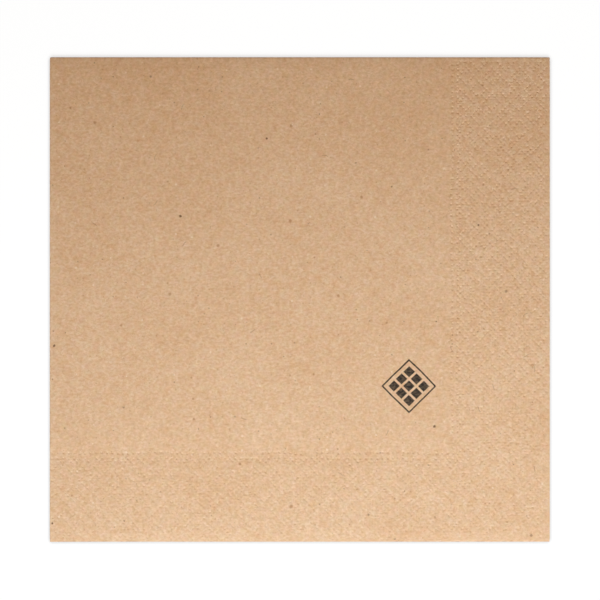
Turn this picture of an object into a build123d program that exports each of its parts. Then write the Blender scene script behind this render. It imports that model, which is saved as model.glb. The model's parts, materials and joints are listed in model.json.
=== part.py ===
"""Paper napkin: one sheet of two-ply tissue, folded twice into a quarter and lying on its underside.

Units are millimetres. +Z is up, X runs along the folded width and Y along the folded length. The first fold
is the left edge (-X) and the second fold is the back edge (+Y). The raw edges are the right edge (+X) and
the front edge (-Y). The origin is under the middle of the folded napkin, on the surface that it rests on.
"""
import os
from math import floor, pi, sqrt

from build123d import *

# The open sheet
SHEET_WIDTH = 330.0  # across the first fold
SHEET_LENGTH = 319.0  # across the second fold
PAPER_THICKNESS = 0.25  # both plies, pressed together

# How closely the leaves lie
LEAF_GAP = 0.20  # air between the two leaves that the first fold joins
HALF_GAP = 0.20  # air between the two halves that the second fold joins

# The embossed border of the top leaf, drawn on a square grid
EMBOSS_PITCH = 0.89  # one step of the grid
EMBOSS_DEPTH = 0.08
GROOVE_WIDTH = 0.50
RIGHT_BORDER = 30.5  # from the right raw edge to the outer guide line
FRONT_BORDER = 27.5  # from the front raw edge to the outer guide line
PLAIN_EDGE = 0.60  # flat paper left beside the folds

# The border's pattern, in grid steps
GUIDE_STEPS = 2  # from the outer guide line to the inner one
DIAMOND_REACH = 3  # from a diamond's middle to its corners
DIAMOND_REPEAT = 10  # from one diamond to the next in its row; rows lie half as far apart

# Room that a cutting tool takes beyond the paper
TOOL_MARGIN = 1.0

# Bend radii, at the middle of the paper's thickness
FIRST_FOLD_RADIUS = (LEAF_GAP + PAPER_THICKNESS) / 2
INNER_FOLD_RADIUS = (HALF_GAP + PAPER_THICKNESS) / 2
OUTER_FOLD_RADIUS = INNER_FOLD_RADIUS + 2 * FIRST_FOLD_RADIUS

# Flat runs of the leaves: what the folds leave of the sheet
LEAF_WIDTH = (SHEET_WIDTH - pi * FIRST_FOLD_RADIUS) / 2
INNER_LEAF_LENGTH = (SHEET_LENGTH - pi * INNER_FOLD_RADIUS) / 2
OUTER_LEAF_LENGTH = (SHEET_LENGTH - pi * OUTER_FOLD_RADIUS) / 2
FOLD_CREEP = INNER_LEAF_LENGTH - OUTER_LEAF_LENGTH  # the outer leaves end this much short

# Size of the folded napkin
FOLDED_WIDTH = LEAF_WIDTH + FIRST_FOLD_RADIUS + PAPER_THICKNESS / 2
FOLDED_LENGTH = INNER_LEAF_LENGTH + OUTER_FOLD_RADIUS + PAPER_THICKNESS / 2
STACK_HEIGHT = 4 * PAPER_THICKNESS + 2 * LEAF_GAP + HALF_GAP

# Places in the napkin's own frame
FIRST_FOLD_X = FIRST_FOLD_RADIUS + PAPER_THICKNESS / 2 - FOLDED_WIDTH / 2
RIGHT_EDGE_X = FOLDED_WIDTH / 2
SECOND_FOLD_Y = FOLDED_LENGTH / 2 - OUTER_FOLD_RADIUS - PAPER_THICKNESS / 2
FRONT_EDGE_Y = -FOLDED_LENGTH / 2
MIDDLE_Z = STACK_HEIGHT / 2
UPPER_LOOP_Z = MIDDLE_Z + INNER_FOLD_RADIUS + FIRST_FOLD_RADIUS

# Where the emboss ends before the folds, and where its outer guide lines run
EMBOSS_LEFT_X = FIRST_FOLD_X + PLAIN_EDGE
EMBOSS_BACK_Y = SECOND_FOLD_Y - PLAIN_EDGE
GUIDE_X = RIGHT_EDGE_X - RIGHT_BORDER
GUIDE_Y = FRONT_EDGE_Y + FRONT_BORDER


def tongue(radius: float) -> Sketch:
    """A straight run as wide as a leaf, closed at its left end by a half round."""
    return Rectangle(LEAF_WIDTH, 2 * radius, align=(Align.MIN, Align.CENTER)) + Circle(radius)


def hairpin_section() -> Sketch:
    """The sheet's section after the first fold: two leaves joined by a loop at the left."""
    inside = LEAF_GAP / 2
    return tongue(inside + PAPER_THICKNESS) - tongue(inside)


def folded_pair() -> Part:
    """The sheet after both folds, with every leaf as long as the inner ones."""
    section_plane = Plane.XZ.offset(-SECOND_FOLD_Y)
    section = section_plane * Pos(FIRST_FOLD_X, UPPER_LOOP_Z) * hairpin_section()
    second_fold = Axis((0, SECOND_FOLD_Y, MIDDLE_Z), (-1, 0, 0))
    upper_half = extrude(section, amount=INNER_LEAF_LENGTH)
    bend = revolve(section, axis=second_fold, revolution_arc=180)
    lower_half = mirror(upper_half, about=Plane.XY.offset(MIDDLE_Z))
    return upper_half + bend + lower_half


def creep_wedge() -> Part:
    """What the top leaf lacks at the front: nothing at the first fold, the whole creep at the right."""
    plan = Polyline(
        (FIRST_FOLD_X, FRONT_EDGE_Y),
        (RIGHT_EDGE_X, FRONT_EDGE_Y + FOLD_CREEP),
        (RIGHT_EDGE_X + TOOL_MARGIN, FRONT_EDGE_Y + FOLD_CREEP),
        (RIGHT_EDGE_X + TOOL_MARGIN, FRONT_EDGE_Y - TOOL_MARGIN),
        (FIRST_FOLD_X, FRONT_EDGE_Y - TOOL_MARGIN),
        close=True,
    )
    top_leaf_and_above = STACK_HEIGHT + TOOL_MARGIN - UPPER_LOOP_Z
    return extrude(Pos(0, 0, UPPER_LOOP_Z) * make_face(plan), amount=top_leaf_and_above)


def guide_groove(steps_in: float) -> Part:
    """One guide line: a V-shaped groove from the first fold to the border's inner corner and on to the back.

    Its sides carry on above the paper.
    """
    line_x = GUIDE_X - steps_in * EMBOSS_PITCH
    line_y = GUIDE_Y + steps_in * EMBOSS_PITCH
    left_end = Vector(EMBOSS_LEFT_X, line_y, STACK_HEIGHT)
    corner = Vector(line_x, line_y, STACK_HEIGHT)
    back_end = Vector(line_x, EMBOSS_BACK_Y, STACK_HEIGHT)
    across = Plane(left_end, x_dir=(0, 1, 0), z_dir=(1, 0, 0))
    profile = Polyline(
        (-GROOVE_WIDTH, EMBOSS_DEPTH),
        (0, -EMBOSS_DEPTH),
        (GROOVE_WIDTH, EMBOSS_DEPTH),
        close=True,
    )
    path = Polyline(left_end, corner, back_end)
    return sweep(across * make_face(profile), path=path, transition=Transition.RIGHT)


def standing_square(half_diagonal: float, height: float) -> Sketch:
    """A square on its corner, at a height above the top of the paper."""
    side = half_diagonal * sqrt(2)
    return Pos(0, 0, STACK_HEIGHT + height) * Rectangle(side, side, rotation=45)


def diamond_groove() -> Part:
    """A V-shaped groove round one diamond, drawn with its sides carried on above the paper."""
    reach = DIAMOND_REACH * EMBOSS_PITCH
    spread = GROOVE_WIDTH * sqrt(2)
    groove_floor = standing_square(reach, -EMBOSS_DEPTH)
    outside = loft([groove_floor, standing_square(reach + spread, EMBOSS_DEPTH)])
    inside = loft([groove_floor, standing_square(reach - spread, EMBOSS_DEPTH)])
    return outside - inside


def diamond_places() -> list[Pos]:
    """Middles of the diamonds, in staggered rows outside the guide lines, running off the raw edges."""
    row_gap = EMBOSS_PITCH * DIAMOND_REPEAT / 2
    reach = EMBOSS_PITCH * DIAMOND_REACH
    clear = reach + GROOVE_WIDTH
    rows_behind = floor((EMBOSS_BACK_Y - clear - GUIDE_Y + reach) / row_gap)
    rows_before = floor((GUIDE_Y - reach - FRONT_EDGE_Y) / row_gap)
    columns_left = floor((GUIDE_X + reach - EMBOSS_LEFT_X - clear) / row_gap)
    columns_right = floor((RIGHT_EDGE_X - GUIDE_X - reach) / row_gap)
    places = []
    for row in range(-rows_behind, rows_before + 1):
        for column in range(-columns_left, columns_right + 1):
            staggered = (row + column) % 2 == 1
            in_border = row >= 0 or column >= 0
            if staggered and in_border:
                places.append(Pos(GUIDE_X + reach + column * row_gap, GUIDE_Y - reach - row * row_gap))
    return places


def embossed_border() -> list[Part]:
    """What presses the border into the top leaf: two guide lines and a field of diamonds."""
    groove = diamond_groove()
    diamonds = [place * groove for place in diamond_places()]
    return [guide_groove(0), guide_groove(GUIDE_STEPS)] + diamonds


def folded_sheet() -> Part:
    """The whole napkin, one solid."""
    top_wedge = creep_wedge()
    bottom_wedge = mirror(top_wedge, about=Plane.XY.offset(MIDDLE_Z))
    return folded_pair() - top_wedge - bottom_wedge - embossed_border()


if __name__ == "__main__":
    os.makedirs("parts", exist_ok=True)
    export_step(folded_sheet(), "parts/folded_sheet.step")
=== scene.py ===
"""Paper napkin, folded in quarters: the looks of the part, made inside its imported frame.

One sheet of two-ply kraft tissue is laid out flat, folded twice, given its thickness and embossed along its
raw edges. The first fold is the left edge and the second fold is the back edge. Lengths are in metres.
"""
import json
import logging
import math
from collections.abc import Callable
from dataclasses import dataclass
from enum import Enum

import bmesh
import bpy
import numpy as np
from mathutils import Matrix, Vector, noise

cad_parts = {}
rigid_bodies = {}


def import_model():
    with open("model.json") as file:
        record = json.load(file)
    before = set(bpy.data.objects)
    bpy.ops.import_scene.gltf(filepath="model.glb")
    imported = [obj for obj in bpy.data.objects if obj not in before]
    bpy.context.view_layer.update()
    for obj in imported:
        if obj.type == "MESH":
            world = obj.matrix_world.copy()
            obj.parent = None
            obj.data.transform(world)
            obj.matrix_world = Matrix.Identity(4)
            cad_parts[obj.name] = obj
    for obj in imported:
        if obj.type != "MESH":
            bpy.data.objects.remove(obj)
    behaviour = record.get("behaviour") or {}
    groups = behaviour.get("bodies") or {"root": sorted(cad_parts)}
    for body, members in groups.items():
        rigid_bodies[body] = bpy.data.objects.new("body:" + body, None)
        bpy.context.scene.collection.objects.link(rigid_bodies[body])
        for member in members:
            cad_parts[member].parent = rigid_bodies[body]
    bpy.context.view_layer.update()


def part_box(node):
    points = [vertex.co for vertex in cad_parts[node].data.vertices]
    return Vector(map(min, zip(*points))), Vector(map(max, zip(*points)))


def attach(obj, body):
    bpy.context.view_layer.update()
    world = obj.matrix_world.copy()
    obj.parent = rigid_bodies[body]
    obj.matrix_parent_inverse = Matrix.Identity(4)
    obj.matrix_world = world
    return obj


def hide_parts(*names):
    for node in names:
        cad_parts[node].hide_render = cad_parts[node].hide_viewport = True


LOG = logging.getLogger("napkin")

MM = 0.001
NODE = "folded_sheet"
BODY = "root"
SHEET_MAP = "open_sheet"

# Sockets of a node that mixes colours
MIX_SHARE = 0
MIX_UNDER = 6
MIX_OVER = 7
MIX_RESULT = 2

# Strength of each finer round of a noise
FINER = 0.6

# How far each further kind is moved, so that no two kinds share their places
FIBRE_ASIDE = (0.41, 0.17)
SPECK_ASIDE = (0.27, 0.71)

Colour = tuple[float, float, float, float]
Socket = bpy.types.NodeSocket
Tree = bpy.types.NodeTree


class OuterFace(Enum):
    """The two faces of the folded napkin that show, by the way they point."""

    TOP = 1.0
    UNDERSIDE = -1.0


@dataclass(frozen=True)
class FoldPlan:
    """How the open sheet folds into the box that the frame gives it.

    Attributes:
        low: Lowest corner of the folded napkin.
        high: Highest corner of the folded napkin.
        paper: Thickness of the sheet, both plies.
        pressing: How far the outer leaves' loop at the second fold is pressed square, from 0 to 1.
    """

    low: Vector
    high: Vector
    paper: float = 0.25 * MM
    pressing: float = 0.78

    @property
    def gap(self) -> float:
        """Air between neighbouring leaves: four leaves have three gaps."""
        return (self.high.z - self.low.z - 4 * self.paper) / 3

    @property
    def fold_radius(self) -> float:
        """Bend of the first fold and of the inner leaves at the second, at mid-thickness."""
        return (self.gap + self.paper) / 2

    @property
    def outer_radius(self) -> float:
        """Bend of the outer leaves round the inner ones at the second fold."""
        return 3 * self.fold_radius

    @property
    def quarter_turn(self) -> float:
        """Length of paper in half of a fold."""
        return math.pi * self.fold_radius / 2

    @property
    def first_fold_x(self) -> float:
        """Place of the first fold's axis."""
        return self.low.x + self.fold_radius + self.paper / 2

    @property
    def second_fold_y(self) -> float:
        """Place of the second fold's axis."""
        return self.high.y - self.outer_radius - self.paper / 2

    @property
    def half_width(self) -> float:
        """From the first fold to a raw edge, on the open sheet."""
        return self.high.x - self.first_fold_x + self.quarter_turn

    @property
    def half_length(self) -> float:
        """From the second fold to a raw edge, on the open sheet."""
        return self.second_fold_y - self.low.y + self.quarter_turn

    @property
    def creep(self) -> float:
        """What the outer leaves lose at the front, because they go the longer way round the fold."""
        return math.pi * (self.outer_radius - self.fold_radius) / 2

    def fold(self, across: np.ndarray, along: np.ndarray) -> np.ndarray:
        """Folds points of the open sheet.

        Args:
            across: Distances from the first fold, positive on the outer leaves.
            along: Distances from the second fold, negative on the upper half.

        Returns:
            The folded points, one row each.
        """
        turn = np.clip(across / self.fold_radius, -math.pi / 2, math.pi / 2)
        run = np.maximum(np.abs(across) - self.quarter_turn, 0)
        x = self.first_fold_x - self.fold_radius * np.cos(turn) + run
        reach = self.fold_radius * (2 + np.sin(turn))
        tilt = np.clip(along / self.fold_radius, -math.pi / 2, math.pi / 2)
        arm = np.maximum(np.abs(along) - self.quarter_turn, 0)
        press = 1 - self.pressing * (reach - self.fold_radius) / (self.outer_radius - self.fold_radius)
        y = self.second_fold_y + reach * np.cos(tilt) ** press - arm
        z = (self.low.z + self.high.z) / 2 - reach * np.sign(tilt) * np.abs(np.sin(tilt)) ** press
        at_front = np.isclose(np.abs(along), self.half_length)
        outer_share = np.maximum(across, 0) / self.half_width
        y = y + np.where(at_front, self.creep * outer_share, 0)
        return np.column_stack((x, y, z))


@dataclass(frozen=True)
class EmbossedBorder:
    """Dotted diamonds along the raw edges, inside two dotted guide lines, on a square grid of places.

    Places are counted in grid steps from the crossing of the outer guide lines, to the right and forwards.

    Attributes:
        pitch: One step of the grid.
        right: From the right raw edge to the outer guide line.
        front: From the front raw edge to the outer guide line.
        guide_steps: Grid steps from the outer guide line to the inner one.
        reach: Grid steps from a diamond's middle to its corners.
        repeat: Grid steps from one diamond to the next in its row.
        wall: Width of a dot's sloping side.
        depth: Depth of a dot.
        pucker_wall: Width of a pucker's sloping side.
        pucker_depth: Depth of a pucker.
        dip: How far the paper round a dot is drawn down with it.
        lean: Share by which the press bites more for each metre to the back.
        uneven: Share by which the press bites more or less from place to place.
        patch: Size of those places.
        drift: How far the pattern strays from its grid.
        drift_patch: Length over which it strays one way and back.
        drift_start: Distance from the outline over which it begins to stray.
        seed: Start of the draws that set the way it strays.
        guide_bite: Share of a diamond's bite that the guide lines have.
        pucker: Share of a diamond's bite that the paper puckers by between the dots.
        pucker_uneven: How much more or less it puckers from dot to dot.
        pucker_stride: How far that unevenness moves on with each grid step.
        pucker_slice: Level at which that unevenness is cut.
        most: Largest share of the full depth that the press reaches.
        clear: Least distance from a grid line to a fold or a raw edge.
    """

    pitch: float = 0.89 * MM
    right: float = 30.5 * MM
    front: float = 27.5 * MM
    guide_steps: int = 2
    reach: int = 3
    repeat: int = 10
    wall: float = 0.38 * MM
    depth: float = 0.075 * MM
    pucker_wall: float = 0.21 * MM
    pucker_depth: float = 0.100 * MM
    dip: float = 0.043 * MM
    lean: float = 4.0
    uneven: float = 0.9
    patch: float = 0.7 * MM
    drift: float = 0.65 * MM
    drift_patch: float = 10.0 * MM
    drift_start: float = 5.0 * MM
    seed: int = 7
    guide_bite: float = 1.6
    pucker: float = 0.28
    pucker_uneven: float = 1.5
    pucker_stride: float = 1.37
    pucker_slice: float = 0.5
    most: float = 1.5
    clear: float = 0.25 * MM

    @property
    def inner_line(self) -> int:
        """The border's innermost grid line, with one plain square between it and the inner guide line."""
        return -self.guide_steps - 2

    def can_pucker(self, column: int, row: int) -> bool:
        """Tells whether a place beyond the guide lines could hold a dot but has none."""
        return max(column, row) > 0 and not self.is_between(column, row) and not self.has_dot(column, row)

    def is_between(self, column: int, row: int) -> bool:
        """Tells whether a place lies between those of the dots."""
        return (column + row) % 2 == 1

    def has_dot(self, column: int, row: int) -> bool:
        """Tells whether the pattern has a dot at a place.

        Args:
            column: Grid steps to the right of the outer guide line.
            row: Grid steps in front of the outer guide line.

        Returns:
            True where the press leaves a dot.
        """
        if self.is_between(column, row):
            return False
        beyond_guide = max(column, row)
        if beyond_guide <= 0:
            return beyond_guide in (0, -self.guide_steps)
        near, far = self.reach, self.reach + self.repeat // 2
        return any(
            abs(self.off_middle(column - middle)) + abs(self.off_middle(row - other)) == self.reach
            for middle, other in ((near, far), (far, near))
        )

    def bite(self, point: Vector, beyond_guide: float) -> float:
        """Tells how far the press bites at a point.

        Args:
            point: Where the press meets the paper.
            beyond_guide: Grid steps from the outer guide line to that point.

        Returns:
            A share of the full depth.
        """
        share = max(0.0, 1 + self.lean * point.y + self.uneven * noise.noise(point / self.patch))
        return min(self.most, share if beyond_guide > 1 else share * self.guide_bite)

    def pucker_bite(self, column: int, row: int) -> float:
        """Share of a dot's bite that the paper puckers by at a place between the dots."""
        spot = (self.pucker_stride * column, self.pucker_stride * row, self.pucker_slice)
        return max(0.0, self.pucker + self.pucker_uneven * noise.noise(spot))

    def stray(self, point: Vector, from_outline: float) -> Vector:
        """Tells how far the pattern lies from its grid at a point.

        Args:
            point: Where on the napkin's outer faces.
            from_outline: Distance from there to the nearest fold or raw edge.

        Returns:
            The way along the paper.
        """
        share = min(1.0, max(0.0, from_outline / self.drift_start))
        way = noise.noise_vector(point / self.drift_patch) * (self.drift * share)
        return Vector((way.x, way.y, 0.0))

    def off_middle(self, steps: int) -> int:
        """Grid steps from the nearest repeat of a diamond's middle."""
        half = self.repeat // 2
        return (steps + half) % self.repeat - half

    def grid_lines(self, fold_end: float, raw_edge: float, guide: float, margin: float) -> list[float]:
        """Places the sheet's grid lines between a fold and a raw edge.

        Beside the fold and the raw edge every line is drawn, and between them one line in each repeat.

        Args:
            fold_end: Where the fold's bend ends.
            raw_edge: Where the sheet is cut.
            guide: Where the outer guide line lies.
            margin: What is kept clear of lines beside the raw edge.

        Returns:
            The places of the lines, both ends included.
        """
        first = math.ceil((fold_end + self.clear - guide) / self.pitch - 0.5)
        last = math.floor((raw_edge - margin - guide) / self.pitch - 0.5)
        wide = [k for k in range(first, last + 1) if (k - self.inner_line) % self.repeat == 0]
        kept = [k for k in range(first, last + 1) if k in wide or not wide[0] < k < wide[-1]]
        return [fold_end] + [guide + (k + 0.5) * self.pitch for k in kept] + [raw_edge]


@dataclass(frozen=True)
class EdgeRoll:
    """How the pressed napkin thins towards one edge.

    Attributes:
        width: Distance from the edge over which it thins.
        loss: Share of the height that is lost at the edge.
    """

    width: float
    loss: float

    def height(self, distance: np.ndarray) -> np.ndarray:
        """Share of the full height that is left at a distance from the edge."""
        near = np.clip(1 - distance / self.width, 0, 1)
        return 1 - self.loss * near * near


@dataclass
class FoldedNapkin:
    """The napkin itself: one sheet, folded twice, embossed and dressed.

    Attributes:
        plan: How the sheet folds.
        border: What is pressed into it.
        name: Name of the finished piece.
        fold_facets: Facets in half of a fold.
        back_roll: How the stack thins towards the second fold.
        right_roll: How it thins towards the right raw edge.
        front_roll: How it thins towards the front raw edge.
        upright: Least upright share of a face's normal on the flat outer faces.
        whole_square: Least area of a whole grid square, as a share of the pitch squared.
        line_slack: Grid steps by which an edge may miss its grid line.
        soft_angle: Largest bend that is shaded smooth, in degrees.
    """

    plan: FoldPlan
    border: EmbossedBorder
    name: str = "napkin_sheet"
    fold_facets: int = 5
    back_roll: EdgeRoll = EdgeRoll(width=6.0 * MM, loss=0.16)
    right_roll: EdgeRoll = EdgeRoll(width=5.0 * MM, loss=0.14)
    front_roll: EdgeRoll = EdgeRoll(width=5.0 * MM, loss=0.16)
    upright: float = 0.99
    whole_square: float = 0.8
    line_slack: float = 0.1
    soft_angle: float = 30.0

    def build(self) -> bpy.types.Object:
        """Makes the finished mesh.

        Returns:
            The napkin, at the origin, with its place in its mesh.
        """
        sheet = self.fold_sheet()
        self.thicken(sheet)
        self.smooth(sheet)
        for face in OuterFace:
            self.divide_border(sheet, face)
            self.press_dots(sheet, face)
            self.pucker(sheet, face)
            self.crease(sheet, face)
        self.stray(sheet)
        self.settle(sheet)
        return sheet

    def mirrored_lines(self, raw_edge: float, guide: float, margin: float) -> np.ndarray:
        """Grid lines of the whole open sheet in one direction, from one raw edge to the other.

        Args:
            raw_edge: From the fold to a raw edge.
            guide: From the fold to the outer guide line.
            margin: What is kept clear of lines beside a raw edge.

        Returns:
            The places of the lines.
        """
        lines = self.border.grid_lines(self.plan.quarter_turn, raw_edge, guide, margin)
        bend = np.linspace(0, self.plan.quarter_turn, self.fold_facets + 1)[:-1]
        half = np.concatenate((bend, lines))
        return np.concatenate((-half[:0:-1], half))

    def fold_sheet(self) -> bpy.types.Object:
        """Lays out the flat sheet as a grid and folds it.

        Returns:
            The folded sheet, with no thickness yet and the flat sheet as its UV map.
        """
        plan, border = self.plan, self.border
        wide, long = plan.half_width, plan.half_length
        across = self.mirrored_lines(wide, wide - border.right, border.clear)
        along = self.mirrored_lines(long, long - border.front, border.clear + plan.creep)
        bpy.ops.object.select_all(action="DESELECT")
        bpy.ops.mesh.primitive_grid_add(
            x_subdivisions=len(across) - 1, y_subdivisions=len(along) - 1, size=1.0
        )
        sheet = bpy.context.object
        sheet.name = self.name
        mesh = sheet.data
        mesh.name = self.name
        flat = np.stack(np.meshgrid(across, along), axis=-1).reshape(-1, 2)
        mesh.vertices.foreach_set("co", plan.fold(flat[:, 0], flat[:, 1]).ravel())
        corner = np.zeros(len(mesh.loops), dtype=np.int32)
        mesh.loops.foreach_get("vertex_index", corner)
        layer = mesh.uv_layers[0]
        layer.name = SHEET_MAP
        layer.uv.foreach_set("vector", (flat + (plan.half_width, plan.half_length))[corner].ravel())
        mesh.update()
        return sheet

    def thicken(self, sheet: bpy.types.Object) -> None:
        """Gives the sheet its thickness, with the raw edges in the second material slot.

        Args:
            sheet: The folded sheet, as the active object.
        """
        paper = sheet.modifiers.new("paper", "SOLIDIFY")
        paper.thickness = self.plan.paper
        paper.offset = 0.0
        paper.use_even_offset = True
        paper.material_offset_rim = 1
        bpy.ops.object.modifier_apply(modifier=paper.name)

    def is_outer(self, face: bmesh.types.BMFace, side: OuterFace) -> bool:
        """Tells whether a mesh face lies flat on one of the napkin's two outer faces.

        Args:
            face: A face of the sheet's mesh.
            side: Which outer face.

        Returns:
            True where it lies on that outer face.
        """
        level = self.plan.high.z if side is OuterFace.TOP else self.plan.low.z
        near = abs(face.calc_center_median().z - level) < self.plan.paper / 4
        return near and face.normal.z * side.value > self.upright

    def grid_place(self, point: Vector) -> tuple[float, float]:
        """Counts a point's grid steps from the outer guide lines.

        Args:
            point: Where on the napkin's outer faces.

        Returns:
            The steps to the right and forwards.
        """
        guide_x = self.plan.high.x - self.border.right
        guide_y = self.plan.low.y + self.border.front
        return (point.x - guide_x) / self.border.pitch, (guide_y - point.y) / self.border.pitch

    def divide_border(self, sheet: bpy.types.Object, side: OuterFace) -> None:
        """Cuts the border's large squares on one outer face into the pattern's own grid.

        Args:
            sheet: The sheet.
            side: Which outer face.
        """
        border = self.border
        bpy.ops.object.mode_set(mode="EDIT")
        bpy.ops.mesh.select_mode(type="EDGE")
        bpy.ops.mesh.select_all(action="DESELECT")
        work = bmesh.from_edit_mesh(sheet.data)
        innermost = border.inner_line + 0.5 - self.line_slack
        long_edge = border.pitch * border.repeat / 2
        for face in work.faces:
            if not self.is_outer(face, side):
                continue
            for edge in face.edges:
                middle = (edge.verts[0].co + edge.verts[1].co) / 2
                if max(self.grid_place(middle)) > innermost and edge.calc_length() > long_edge:
                    edge.select_set(True)
        bmesh.update_edit_mesh(sheet.data)
        bpy.ops.mesh.subdivide(number_cuts=border.repeat - 1, ngon=True)
        bpy.ops.object.mode_set(mode="OBJECT")

    def press_dots(self, sheet: bpy.types.Object, side: OuterFace) -> None:
        """Presses the pattern's crisp dots into one outer face.

        Args:
            sheet: The sheet.
            side: Which outer face.
        """
        border = self.border
        bpy.ops.object.mode_set(mode="EDIT")
        self.select_squares(sheet, side, border.has_dot)
        self.push_in(sheet, border.dip * side.value)
        bpy.ops.mesh.inset(thickness=border.wall, depth=0, use_individual=True)
        self.push_in(sheet, border.depth * side.value)
        bpy.ops.mesh.select_more()
        bpy.ops.mesh.faces_shade_flat()
        bpy.ops.object.mode_set(mode="OBJECT")

    def pucker(self, sheet: bpy.types.Object, side: OuterFace) -> None:
        """Lets the paper pucker softly between the dots of one outer face.

        Args:
            sheet: The sheet.
            side: Which outer face.
        """
        border = self.border
        bpy.ops.object.mode_set(mode="EDIT")
        self.select_squares(sheet, side, border.can_pucker)
        bpy.ops.mesh.faces_shade_smooth()
        bpy.ops.mesh.inset(thickness=border.pucker_wall, depth=0, use_individual=True)
        self.push_in(sheet, border.pucker_depth * side.value)
        bpy.ops.object.mode_set(mode="OBJECT")

    def crease(self, sheet: bpy.types.Object, side: OuterFace) -> None:
        """Creases the bent squares between the dots through their high corners, alike both ways.

        Args:
            sheet: The sheet.
            side: Which outer face.
        """
        bpy.ops.object.mode_set(mode="EDIT")
        self.select_squares(sheet, side, self.border.is_between)
        bpy.ops.mesh.quads_convert_to_tris(quad_method="LONGEST_DIAGONAL")
        bpy.ops.object.mode_set(mode="OBJECT")

    def select_squares(
        self, sheet: bpy.types.Object, side: OuterFace, wanted: Callable[[int, int], bool]
    ) -> None:
        """Selects whole squares of the pattern's grid on one outer face.

        Args:
            sheet: The sheet, in edit mode.
            side: Which outer face.
            wanted: Tells of a square's column and row whether it is to be selected.
        """
        bpy.ops.mesh.select_mode(type="FACE")
        bpy.ops.mesh.select_all(action="DESELECT")
        work = bmesh.from_edit_mesh(sheet.data)
        least = self.whole_square * self.border.pitch * self.border.pitch
        for face in work.faces:
            if len(face.verts) != 4 or not least < face.calc_area() < 2 * least:
                continue
            if self.is_outer(face, side) and wanted(*self.grid_square(face)):
                face.select_set(True)
        bmesh.update_edit_mesh(sheet.data)

    def grid_square(self, face: bmesh.types.BMFace) -> tuple[int, int]:
        """Counts a small face's whole grid steps from the outer guide lines, to the right and forwards."""
        column, row = self.grid_place(face.calc_center_median())
        return round(column), round(row)

    def push_in(self, sheet: bpy.types.Object, depth: float) -> None:
        """Pushes the selected faces in, as far as the press bites at each place.

        Args:
            sheet: The sheet, in edit mode.
            depth: What a full bite pushes in, down on the top face and up on the underside.
        """
        border = self.border
        work = bmesh.from_edit_mesh(sheet.data)
        pushed: dict[bmesh.types.BMVert, float] = {}
        for face in work.faces:
            if not face.select:
                continue
            place = self.grid_square(face)
            share = 1.0 if border.has_dot(*place) else border.pucker_bite(*place)
            for vertex in face.verts:
                pushed[vertex] = depth * share * border.bite(vertex.co, max(place))
        for vertex, way in pushed.items():
            vertex.co.z -= way
        bmesh.update_edit_mesh(sheet.data)

    def stray(self, sheet: bpy.types.Object) -> None:
        """Lets the pattern stray from its grid on both outer faces, as paper stretches in the press.

        Args:
            sheet: The embossed sheet.
        """
        noise.seed_set(self.border.seed)
        low, high = self.plan.low, self.plan.high
        for vertex in sheet.data.vertices:
            place = vertex.co
            if low.z + self.plan.paper < place.z < high.z - self.plan.paper:
                continue
            from_outline = min(place.x - low.x, high.x - place.x, place.y - low.y, high.y - place.y)
            vertex.co = place + self.border.stray(place, from_outline)

    def settle(self, sheet: bpy.types.Object) -> None:
        """Lets the pressed stack thin towards its edges, with its underside flat on the table.

        Args:
            sheet: The embossed sheet.
        """
        plan, mesh = self.plan, sheet.data
        place = np.zeros(len(mesh.vertices) * 3, dtype=np.float32)
        mesh.vertices.foreach_get("co", place)
        place = place.reshape(-1, 3)
        share = self.right_roll.height(plan.high.x - place[:, 0])
        share = share * self.front_roll.height(place[:, 1] - plan.low.y)
        share = share * self.back_roll.height(plan.high.y - place[:, 1])
        place[:, 2] = plan.low.z + (place[:, 2] - plan.low.z) * share
        mesh.vertices.foreach_set("co", place.ravel())
        mesh.update()

    def smooth(self, sheet: bpy.types.Object) -> None:
        """Shades the folds smooth and keeps the cut edges sharp.

        Args:
            sheet: The thickened sheet.
        """
        bpy.ops.object.select_all(action="DESELECT")
        sheet.select_set(True)
        bpy.context.view_layer.objects.active = sheet
        bpy.ops.object.shade_smooth_by_angle(angle=math.radians(self.soft_angle))


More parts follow.
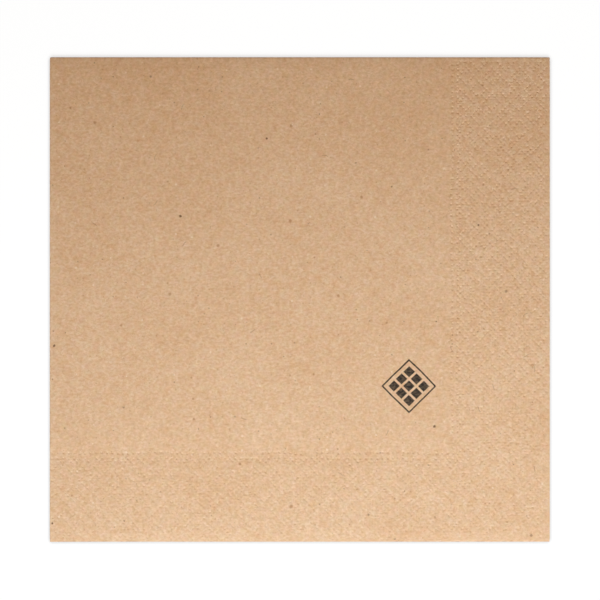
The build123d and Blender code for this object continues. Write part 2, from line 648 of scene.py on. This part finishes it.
class Graph:
    """Draws nodes in one node tree."""

    def __init__(self, tree: Tree) -> None:
        """Starts on an emptied tree."""
        self.tree = tree
        tree.nodes.clear()

    def feed(self, socket: Socket, value: object) -> None:
        """Gives an input a constant, or the output of another node.

        Args:
            socket: The input.
            value: A constant or an output.
        """
        if isinstance(value, Socket):
            self.tree.links.new(value, socket)
        else:
            socket.default_value = value

    def node(
        self, kind: str, feeds: dict[int | str, object] | None = None, **settings: object
    ) -> bpy.types.Node:
        """Adds a node.

        Args:
            kind: Blender's name of the node.
            feeds: A constant or an output for each input, by its number or name.
            settings: Value for each property's name.

        Returns:
            The node.
        """
        made = self.tree.nodes.new(kind)
        for name, value in settings.items():
            setattr(made, name, value)
        for key, value in (feeds or {}).items():
            self.feed(made.inputs[key], value)
        return made

    def math(self, operation: str, *values: object, clamp: bool = False) -> Socket:
        """Adds one sum on numbers and returns its result, kept from 0 to 1 if clamped."""
        feeds = dict(enumerate(values))
        return self.node("ShaderNodeMath", feeds, operation=operation, use_clamp=clamp).outputs[0]

    def vector(self, operation: str, *values: object) -> Socket:
        """Adds one sum on vectors and returns its vector."""
        feeds = dict(enumerate(values))
        return self.node("ShaderNodeVectorMath", feeds, operation=operation).outputs["Vector"]

    def blend(self, share: object, under: object, over: object) -> Socket:
        """Lays one colour over another by a share from 0 to 1."""
        feeds = {MIX_SHARE: share, MIX_UNDER: under, MIX_OVER: over}
        return self.node("ShaderNodeMix", feeds, data_type="RGBA").outputs[MIX_RESULT]

    def noise(self, vector: object, scale: float, detail: float, warp: float = 0.0) -> Socket:
        """Adds a flat noise, by its waves in a metre and finer rounds, and returns its value."""
        feeds = {"Vector": vector, "Scale": scale, "Detail": detail, "Roughness": FINER, "Distortion": warp}
        return self.node("ShaderNodeTexNoise", feeds, noise_dimensions="2D").outputs[0]

    def tinted_noise(self, vector: object, scale: float) -> Socket:
        """Adds a flat noise of colours, by its waves in a metre."""
        feeds = {"Vector": vector, "Scale": scale, "Detail": 2.0}
        return self.node("ShaderNodeTexNoise", feeds, noise_dimensions="2D").outputs[1]

    def cells(self, vector: object, spacing: object) -> bpy.types.Node:
        """Scatters one point in each cell of a given average size."""
        feeds = {"Vector": vector, "Scale": self.math("DIVIDE", 1.0, spacing)}
        return self.node("ShaderNodeTexVoronoi", feeds, voronoi_dimensions="2D", feature="F1")

    def turned(self, vector: object, angle: object) -> Socket:
        """Turns a vector about the upright axis."""
        feeds = {"Vector": vector, "Angle": angle}
        return self.node("ShaderNodeVectorRotate", feeds, rotation_type="Z_AXIS").outputs[0]

    def parts(self, vector: object) -> bpy.types.NodeOutputs:
        """Splits a vector into its three lengths."""
        return self.node("ShaderNodeSeparateXYZ", {0: vector}).outputs

    def split(self, colour: Socket) -> bpy.types.NodeOutputs:
        """Splits a colour into its three numbers."""
        return self.node("ShaderNodeSeparateColor", {0: colour}).outputs

    def place(self, group: Tree, **values: object) -> bpy.types.NodeOutputs:
        """Places a node group with its own values."""
        return self.node("ShaderNodeGroup", values, node_tree=group).outputs


class Effect:
    """A shader node group with named inputs and outputs."""

    def __init__(self, name: str, inputs: dict[str, str], outputs: dict[str, str]) -> None:
        """Makes the group's sockets.

        Args:
            name: Name of the group.
            inputs: Socket kind for each input's name.
            outputs: Socket kind for each output's name.
        """
        self.group = bpy.data.node_groups.new(name, "ShaderNodeTree")
        for title, kind in inputs.items():
            self.group.interface.new_socket(title, in_out="INPUT", socket_type=f"NodeSocket{kind}")
        for title, kind in outputs.items():
            self.group.interface.new_socket(title, in_out="OUTPUT", socket_type=f"NodeSocket{kind}")
        self.graph = Graph(self.group)
        self.given = self.graph.node("NodeGroupInput").outputs
        self.result = self.graph.node("NodeGroupOutput").inputs


def specks_effect() -> Tree:
    """Scattered specks of uneven size.

    Returns:
        A group that takes a vector, the spacing of the places, the largest radius and the share of places
        that hold a speck, and gives a mask.
    """
    effect = Effect(
        "scattered_specks",
        {"Vector": "Vector", "Spacing": "Float", "Radius": "Float", "Share": "Float"},
        {"Mask": "Float"},
    )
    graph, given = effect.graph, effect.given
    fray = 0.4 * MM
    fray_scale = 2500.0
    least_size = 0.3
    sharpness = 2.0
    ragged = graph.tinted_noise(given["Vector"], fray_scale)
    frayed = graph.vector("MULTIPLY_ADD", ragged, (fray, fray, 0.0), given["Vector"])
    cells = graph.cells(frayed, given["Spacing"])
    chance = graph.split(cells.outputs["Color"])
    distance = graph.math("MULTIPLY", cells.outputs["Distance"], given["Spacing"])
    size_share = graph.math("MULTIPLY_ADD", chance[1], 1 - least_size, least_size)
    size = graph.math("MULTIPLY", given["Radius"], size_share)
    inside = graph.math("SUBTRACT", 1.0, graph.math("DIVIDE", distance, size))
    soft = graph.math("MULTIPLY", inside, sharpness, clamp=True)
    there = graph.math("LESS_THAN", chance[0], given["Share"])
    graph.feed(effect.result["Mask"], graph.math("MULTIPLY", soft, there))
    return effect.group


def fibres_effect() -> Tree:
    """Scattered short fibres, each turned and curled its own way.

    Returns:
        A group that takes a vector, the spacing of the places, a fibre's length and width and the share of
        places that hold a fibre, and gives a mask.
    """
    effect = Effect(
        "scattered_fibres",
        {"Vector": "Vector", "Spacing": "Float", "Length": "Float", "Width": "Float", "Share": "Float"},
        {"Mask": "Float"},
    )
    graph, given = effect.graph, effect.given
    most_curl = 0.8
    end_sharpness = 6.0
    cells = graph.cells(given["Vector"], given["Spacing"])
    chance = graph.split(cells.outputs["Color"])
    from_middle = graph.vector("SUBTRACT", given["Vector"], cells.outputs["Position"])
    local = graph.parts(graph.turned(from_middle, graph.math("MULTIPLY", chance[0], 2 * math.pi)))
    along, beside = local[0], local[1]
    square = graph.math("DIVIDE", graph.math("MULTIPLY", along, along), given["Length"])
    curl_share = graph.math("MULTIPLY_ADD", chance[1], 2 * most_curl, -most_curl)
    curl = graph.math("MULTIPLY", square, curl_share)
    off_line = graph.math("ABSOLUTE", graph.math("SUBTRACT", beside, curl))
    half_width = graph.math("MULTIPLY", given["Width"], 0.5)
    in_line = graph.math("SUBTRACT", 1.0, graph.math("DIVIDE", off_line, half_width), clamp=True)
    to_end = graph.math("DIVIDE", graph.math("ABSOLUTE", along), given["Length"])
    in_reach = graph.math("MULTIPLY", graph.math("SUBTRACT", 0.5, to_end), end_sharpness, clamp=True)
    there = graph.math("LESS_THAN", chance[2], given["Share"])
    mask = graph.math("MULTIPLY", graph.math("MULTIPLY", in_line, in_reach), there)
    graph.feed(effect.result["Mask"], mask)
    return effect.group


def formation_effect() -> Tree:
    """The uneven lie of pulp in tissue.

    Returns:
        A group that takes a vector and gives the pulp's thickness and its fine grain, both about one half,
        and a tint that wavers about mid-grey.
    """
    effect = Effect(
        "tissue_formation", {"Vector": "Vector"}, {"Pulp": "Float", "Grain": "Float", "Tint": "Color"}
    )
    graph, given = effect.graph, effect.given
    grain_stretch = (0.70, 1.0, 1.0)
    grain_scale = 1300.0
    pulp_turn = math.radians(33)
    cloud_scale, cloud_strength = 40.0, 0.26
    clump_scale, clump_strength = 330.0, 0.54
    tint_scale = 420.0
    warp = 0.4
    stretched = graph.vector("MULTIPLY", given["Vector"], grain_stretch)
    turned = graph.turned(given["Vector"], pulp_turn)
    grain = graph.noise(stretched, grain_scale, detail=2.0, warp=warp)
    pulp = 0.10
    for value, strength in (
        (graph.noise(turned, cloud_scale, detail=1.0), cloud_strength),
        (graph.noise(turned, clump_scale, detail=2.0, warp=warp), clump_strength),
    ):
        pulp = graph.math("MULTIPLY_ADD", value, strength, pulp)
    graph.feed(effect.result["Pulp"], pulp)
    graph.feed(effect.result["Grain"], grain)
    graph.feed(effect.result["Tint"], graph.tinted_noise(turned, tint_scale))
    return effect.group


def lozenge_print_effect() -> Tree:
    """A printed ornament: nine small lozenges inside a thin lozenge line.

    Returns:
        A group that takes a vector counted from the ornament's middle and the side of one lozenge's cell,
        and gives a mask.
    """
    effect = Effect("lozenge_print", {"Vector": "Vector", "Cell": "Float"}, {"Mask": "Float"})
    graph, given = effect.graph, effect.given
    lozenge_half = 0.39
    field_half = 1.5
    line_place = 1.82
    line_half = 0.075
    local = graph.parts(graph.turned(given["Vector"], math.radians(45)))
    sides = [graph.math("DIVIDE", local[axis], given["Cell"]) for axis in (0, 1)]
    from_cell = [graph.math("ABSOLUTE", graph.math("SUBTRACT", s, graph.math("ROUND", s))) for s in sides]
    in_cell = graph.math("LESS_THAN", graph.math("MAXIMUM", *from_cell), lozenge_half)
    reach = graph.math("MAXIMUM", *[graph.math("ABSOLUTE", s) for s in sides])
    in_field = graph.math("LESS_THAN", reach, field_half)
    on_line = graph.math("COMPARE", reach, line_place, line_half)
    lozenges = graph.math("MULTIPLY", in_cell, in_field)
    graph.feed(effect.result["Mask"], graph.math("MAXIMUM", lozenges, on_line))
    return effect.group


@dataclass(frozen=True)
class Effects:
    """The shared shader effects, each made once."""

    specks: Tree
    fibres: Tree
    formation: Tree
    print: Tree


@dataclass(frozen=True)
class Strewn:
    """One kind of fibre or speck in the pulp.

    Attributes:
        colour: Its colour.
        strength: How far it covers the pulp.
        share: Share of the places that hold one.
        sizes: Its lengths in millimetres, by the names of the effect's inputs.
    """

    colour: Colour
    strength: float
    share: float
    sizes: dict[str, float]


@dataclass(frozen=True)
class KraftTissue:
    """Unbleached tissue: mottled pulp, dark and pale fibres, brown specks and one printed ornament.

    Attributes:
        print_place: The ornament's middle, on the open sheet.
        folds: Place of the two folds on the open sheet.
        thin: Colour where the pulp lies thin.
        thick: Colour where it lies thick.
        grain_share: Strength of the fine grain in each colour.
        tint_share: Strength of the wavering tint in each of its colours.
        fold_paling_width: Width of the paler paper beside a fold.
        fold_paling: Share of the straw colour at the fold, which makes the paper paler there.
        bark: Colour of dark specks and fibres.
        amber: Colour of golden-brown specks.
        straw: Colour of pale fibres and flecks.
        ink: Colour of the print.
        print_cell: Side of one lozenge's cell.
        ink_full: Ink taken where the grain is lowest, of which 1 is all.
        ink_loss: Ink lost where the grain is highest.
        smoothest: Roughness where the grain is lowest.
        rougher: What the highest grain adds to it.
        gloss: Level of the shine.
        sheen: Weight of the fibres' sheen.
        relief: Height of the grain.
        relief_share: Share of that height that shows.
    """

    print_place: tuple[float, float, float]
    folds: tuple[float, float]
    thin: Colour = (0.598, 0.322, 0.153, 1.0)
    thick: Colour = (0.782, 0.558, 0.379, 1.0)
    grain_share: tuple[float, float, float] = (0.37, 0.61, 0.84)
    tint_share: tuple[float, float, float] = (0.12, 0.08, 0.20)
    fold_paling_width: float = 2.5 * MM
    fold_paling: float = 0.12
    bark: Colour = (0.120, 0.055, 0.018, 1.0)
    amber: Colour = (0.340, 0.150, 0.045, 1.0)
    straw: Colour = (0.860, 0.660, 0.480, 1.0)
    ink: Colour = (0.026, 0.019, 0.014, 1.0)
    print_cell: float = 3.35 * MM
    ink_full: float = 1.2
    ink_loss: float = 0.5
    smoothest: float = 0.8
    rougher: float = 0.2
    gloss: float = 0.2
    sheen: float = 0.05
    relief: float = 0.06 * MM
    relief_share: float = 0.9

    def material(self, effects: Effects) -> bpy.types.Material:
        """Makes the finish of the sheet's two faces.

        Args:
            effects: The shared shader effects.

        Returns:
            The material.
        """
        made = bpy.data.materials.new("kraft_tissue")
        made.use_nodes = True
        graph = Graph(made.node_tree)
        sheet = graph.node("ShaderNodeUVMap", uv_map=SHEET_MAP).outputs[0]
        formation = graph.place(effects.formation, Vector=sheet)
        colour = graph.blend(formation["Pulp"], self.thin, self.thick)
        for wave, shares in ((formation["Grain"], self.grain_share), (formation["Tint"], self.tint_share)):
            level = [1 - share / 2 for share in shares]
            colour = graph.vector("MULTIPLY", colour, graph.vector("MULTIPLY_ADD", wave, shares, level))
        # The paper is made paler near the two folds, fading out within a few millimetres.
        fold_paled = graph.math("MULTIPLY", self.fold_paling_mask(graph, sheet), self.fold_paling)
        colour = graph.blend(fold_paled, colour, self.straw)
        colour = self.strew(graph, effects.fibres, self.fibre_kinds(), FIBRE_ASIDE, sheet, colour)
        colour = self.strew(graph, effects.specks, self.speck_kinds(), SPECK_ASIDE, sheet, colour)
        colour = self.with_print(graph, effects, sheet, formation["Grain"], colour)
        bump = graph.node(
            "ShaderNodeBump",
            {"Strength": self.relief_share, "Distance": self.relief, "Height": formation["Grain"]},
        )
        shader = graph.node(
            "ShaderNodeBsdfPrincipled",
            {
                "Base Color": colour,
                "Roughness": graph.math("MULTIPLY_ADD", formation["Grain"], self.rougher, self.smoothest),
                "Specular IOR Level": self.gloss,
                "Sheen Weight": self.sheen,
                "Normal": bump.outputs[0],
            },
        )
        graph.node("ShaderNodeOutputMaterial", {0: shader.outputs[0]})
        return made

    def fold_paling_mask(self, graph: Graph, sheet: Socket) -> Socket:
        """Picks out the paper beside the two folds.

        Args:
            graph: The material's nodes.
            sheet: Place on the open sheet.

        Returns:
            A mask.
        """
        place = graph.parts(sheet)
        past = [graph.math("SUBTRACT", place[axis], self.folds[axis]) for axis in (0, 1)]
        away = [graph.math("ABSOLUTE", way) for way in past]
        nearest = graph.math("DIVIDE", graph.math("MINIMUM", *away), self.fold_paling_width)
        return graph.math("SUBTRACT", 1.0, nearest, clamp=True)

    def fibre_kinds(self) -> tuple[Strewn, ...]:
        """Short pale, short dark and a few long dark fibres."""
        return (
            Strewn(self.straw, 0.45, share=0.45, sizes={"Spacing": 1.3, "Length": 1.2, "Width": 0.16}),
            Strewn(self.bark, 0.14, share=0.35, sizes={"Spacing": 1.5, "Length": 1.3, "Width": 0.14}),
            Strewn(self.bark, 0.55, share=0.07, sizes={"Spacing": 9.0, "Length": 2.4, "Width": 0.30}),
        )

    def speck_kinds(self) -> tuple[Strewn, ...]:
        """Many faint specks, a few golden or dark ones and a few pale flecks."""
        return (
            Strewn(self.amber, 0.34, share=0.30, sizes={"Spacing": 2.2, "Radius": 0.32}),
            Strewn(self.bark, 0.50, share=0.14, sizes={"Spacing": 4.0, "Radius": 0.32}),
            Strewn(self.amber, 0.55, share=0.10, sizes={"Spacing": 8.0, "Radius": 0.75}),
            Strewn(self.bark, 0.50, share=0.07, sizes={"Spacing": 9.0, "Radius": 0.60}),
            Strewn(self.bark, 0.85, share=0.06, sizes={"Spacing": 14.0, "Radius": 0.80}),
            Strewn(self.straw, 0.60, share=0.14, sizes={"Spacing": 5.5, "Radius": 0.50}),
        )

    def strew(
        self, graph: Graph, effect: Tree, kinds: tuple[Strewn, ...],
        step: tuple[float, float], sheet: Socket, colour: Socket,
    ) -> Socket:
        """Strews fibres or specks over the pulp.

        Args:
            graph: The material's nodes.
            effect: The shared effect that scatters them.
            kinds: What is strewn.
            step: How far each further kind is moved aside.
            sheet: Place on the open sheet.
            colour: The colour so far.

        Returns:
            The new colour.
        """
        for turn, kind in enumerate(kinds):
            aside = graph.vector("ADD", sheet, (step[0] * turn, step[1] * turn, 0.0))
            sizes = {name: size * MM for name, size in kind.sizes.items()}
            mask = graph.place(effect, Vector=aside, Share=kind.share, **sizes)["Mask"]
            colour = graph.blend(graph.math("MULTIPLY", mask, kind.strength), colour, kind.colour)
        return colour

    def with_print(
        self, graph: Graph, effects: Effects, sheet: Socket, grain: Socket, colour: Socket
    ) -> Socket:
        """Prints the ornament, with ink that the grain takes up unevenly.

        Args:
            graph: The material's nodes.
            effects: The shared shader effects.
            sheet: Place on the open sheet.
            grain: The paper's fine grain.
            colour: The colour so far.

        Returns:
            The new colour.
        """
        from_middle = graph.vector("SUBTRACT", sheet, self.print_place)
        ornament = graph.place(effects.print, Vector=from_middle, Cell=self.print_cell)["Mask"]
        taken = graph.math("MULTIPLY_ADD", grain, -self.ink_loss, self.ink_full, clamp=True)
        return graph.blend(graph.math("MULTIPLY", ornament, taken), colour, self.ink)


@dataclass(frozen=True)
class CutEdge:
    """The raw edge of the tissue: paler, where the blade has opened the fibres.

    Attributes:
        shaded: Colour between the fibres.
        opened: Colour of the opened fibres.
        roughness: How matt the edge is.
        gloss: Level of its shine.
    """

    shaded: Colour = (0.500, 0.310, 0.180, 1.0)
    opened: Colour = (0.800, 0.560, 0.370, 1.0)
    roughness: float = 0.95
    gloss: float = 0.1

    def material(self, effects: Effects) -> bpy.types.Material:
        """Makes the finish of the cut edges.

        Args:
            effects: The shared shader effects.

        Returns:
            The material.
        """
        made = bpy.data.materials.new("cut_edge")
        made.use_nodes = True
        graph = Graph(made.node_tree)
        sheet = graph.node("ShaderNodeUVMap", uv_map=SHEET_MAP).outputs[0]
        formation = graph.place(effects.formation, Vector=sheet)
        colour = graph.blend(formation["Grain"], self.shaded, self.opened)
        shader = graph.node(
            "ShaderNodeBsdfPrincipled",
            {"Base Color": colour, "Roughness": self.roughness, "Specular IOR Level": self.gloss},
        )
        graph.node("ShaderNodeOutputMaterial", {0: shader.outputs[0]})
        return made


@dataclass(frozen=True)
class SoftBox:
    """A flat lamp.

    Attributes:
        name: Name of the lamp.
        place: Where it hangs.
        aim: The point that it faces.
        width: Its level side.
        height: Its other side.
        power: Watts of light.
        spread: Angle that its grid lets through, in degrees.
        colour: Colour of its light.
    """

    name: str
    place: tuple[float, float, float]
    aim: tuple[float, float, float]
    width: float
    height: float
    power: float
    spread: float
    colour: tuple[float, float, float]

    def build(self) -> None:
        """Hangs the lamp."""
        lamp = bpy.data.lights.new(self.name, "AREA")
        lamp.shape = "RECTANGLE"
        lamp.size = self.width
        lamp.size_y = self.height
        lamp.energy = self.power
        lamp.spread = math.radians(self.spread)
        lamp.color = self.colour
        hung = bpy.data.objects.new(self.name, lamp)
        hung.location = self.place
        hung.rotation_euler = (Vector(self.aim) - Vector(self.place)).to_track_quat("-Z", "Y").to_euler()
        bpy.context.scene.collection.objects.link(hung)


@dataclass(frozen=True)
class Studio:
    """White table, soft light from the front and a camera straight above.

    Attributes:
        view_width: Width of table that the picture shows.
        lens: Focal length of the camera, in millimetres.
        aim: Point on the napkin at the middle of the picture.
        table_size: Side of the table.
        table_white: Its colour in the light that it throws back.
        table_shade: Its colour to the camera, under the glow.
        table_glow: Strength of the white that the camera sees.
        painted_shadow_reach: How near the napkin the table's glow is dimmed, a painted contact shadow.
        painted_shadow_glow_share: Share of the glow left in that painted shadow where they touch.
        sky: Colour of the room's light.
        key: Main lamp, in front.
        fill: Weaker lamp, behind.
    """

    view_width: float = 197.9 * MM
    lens: float = 85.0
    aim: tuple[float, float] = (0.07 * MM, -0.16 * MM)
    table_size: float = 6.0
    table_white: Colour = (0.80, 0.80, 0.80, 1.0)
    table_shade: Colour = (0.07, 0.07, 0.07, 1.0)
    table_glow: float = 0.95
    # Painted contact shadow: how far and how deep the table's glow is dimmed near the napkin.
    painted_shadow_reach: float = 1.5 * MM
    painted_shadow_glow_share: float = 0.3
    sky: Colour = (0.32, 0.190, 0.060, 1.0)
    key: SoftBox = SoftBox(
        "key",
        place=(0.04, -0.41, 0.30),
        aim=(0.02, -0.05, 0.0),
        width=0.45, height=0.15, power=0.585, spread=50.0,
        colour=(0.71, 0.868, 1.0),
    )
    fill: SoftBox = SoftBox(
        "fill",
        place=(-0.10, 1.00, 0.26),
        aim=(0.0, 0.0, 0.0),
        width=0.5, height=0.5, power=0.25, spread=180.0,
        colour=(1.0, 0.8, 0.6),
    )

    def build(self, top: float) -> None:
        """Sets the scene.

        Args:
            top: Height of the napkin's upper face.
        """
        self.lay_table()
        self.light_sky()
        self.key.build()
        self.fill.build()
        self.point_camera(top)
        bpy.context.scene.view_settings.view_transform = "Standard"

    def seen_directly(self, graph: Graph) -> Socket:
        """Picks out what the camera sees, straight or by a mirror.

        Args:
            graph: The nodes to add to.

        Returns:
            A mask.
        """
        path = graph.node("ShaderNodeLightPath").outputs
        mirrored = graph.math("MAXIMUM", path["Is Glossy Ray"], path["Is Transmission Ray"])
        return graph.math("MAXIMUM", path["Is Camera Ray"], mirrored)

    def lay_table(self) -> None:
        """Lays a white table whose glow is dimmed near the napkin as a painted contact shadow, and which
        also keeps the faint real shadow of the lamps.
        """
        bpy.ops.object.select_all(action="DESELECT")
        bpy.ops.mesh.primitive_plane_add(size=self.table_size)
        table = bpy.context.object
        table.name = "table"
        made = bpy.data.materials.new("white_table")
        made.use_nodes = True
        graph = Graph(made.node_tree)
        seen = self.seen_directly(graph)
        colour = graph.blend(seen, self.table_white, self.table_shade)
        matt = graph.node("ShaderNodeBsdfDiffuse", {"Color": colour})
        # Painted contact shadow: the glow that the camera sees is dimmed by ambient occlusion near the
        # napkin.
        painted_shadow_occlusion = graph.node("ShaderNodeAmbientOcclusion", {"Distance": self.painted_shadow_reach})
        least = self.painted_shadow_glow_share * self.table_glow
        further = (1 - self.painted_shadow_glow_share) * self.table_glow
        glow_with_painted_shadow = graph.math("MULTIPLY_ADD", painted_shadow_occlusion.outputs["AO"], further, least)
        glow = graph.node("ShaderNodeEmission", {"Strength": graph.math("MULTIPLY", seen, glow_with_painted_shadow)})
        both = graph.node("ShaderNodeAddShader", {0: matt.outputs[0], 1: glow.outputs[0]})
        graph.node("ShaderNodeOutputMaterial", {0: both.outputs[0]})
        table.data.materials.append(made)

    def light_sky(self) -> None:
        """Fills the room with faint warm light behind a white backdrop."""
        world = bpy.data.worlds.new("studio")
        world.use_nodes = True
        bpy.context.scene.world = world
        graph = Graph(world.node_tree)
        shown = graph.blend(self.seen_directly(graph), self.sky, (1.0, 1.0, 1.0, 1.0))
        background = graph.node("ShaderNodeBackground", {"Color": shown})
        graph.node("ShaderNodeOutputWorld", {0: background.outputs[0]})

    def point_camera(self, top: float) -> None:
        """Hangs the camera straight above, so far up that the picture has its width.

        Args:
            top: Height of the napkin's upper face.
        """
        lens = bpy.data.cameras.new("camera")
        lens.lens = self.lens
        camera = bpy.data.objects.new("camera", lens)
        camera.location = (*self.aim, top + self.view_width * self.lens / lens.sensor_width)
        bpy.context.scene.collection.objects.link(camera)
        bpy.context.scene.camera = camera


def dress(napkin: bpy.types.Object, plan: FoldPlan) -> None:
    """Gives the napkin its two finishes.

    Args:
        napkin: The finished mesh.
        plan: How its sheet folds, for places on the open sheet.
    """
    effects = Effects(specks_effect(), fibres_effect(), formation_effect(), lozenge_print_effect())
    print_x, print_y = 36.0 * MM, -28.5 * MM
    print_across = plan.half_width + plan.quarter_turn + print_x - plan.first_fold_x
    print_along = plan.half_length - plan.quarter_turn + print_y - plan.second_fold_y
    tissue = KraftTissue(
        print_place=(print_across, print_along, 0.0), folds=(plan.half_width, plan.half_length)
    )
    napkin.data.materials.clear()
    napkin.data.materials.append(tissue.material(effects))
    napkin.data.materials.append(CutEdge().material(effects))


def main() -> None:
    """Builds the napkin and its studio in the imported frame."""
    logging.basicConfig(level=logging.INFO, format="%(name)s: %(message)s")
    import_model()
    plan = FoldPlan(*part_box(NODE))
    napkin = FoldedNapkin(plan, EmbossedBorder()).build()
    dress(napkin, plan)
    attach(napkin, BODY)
    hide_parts(NODE)
    faces = napkin.data.polygons
    LOG.info("%s: %d triangles", napkin.name, sum(len(face.vertices) - 2 for face in faces))
    Studio().build(plan.high.z)


if __name__ == "__main__":
    main()
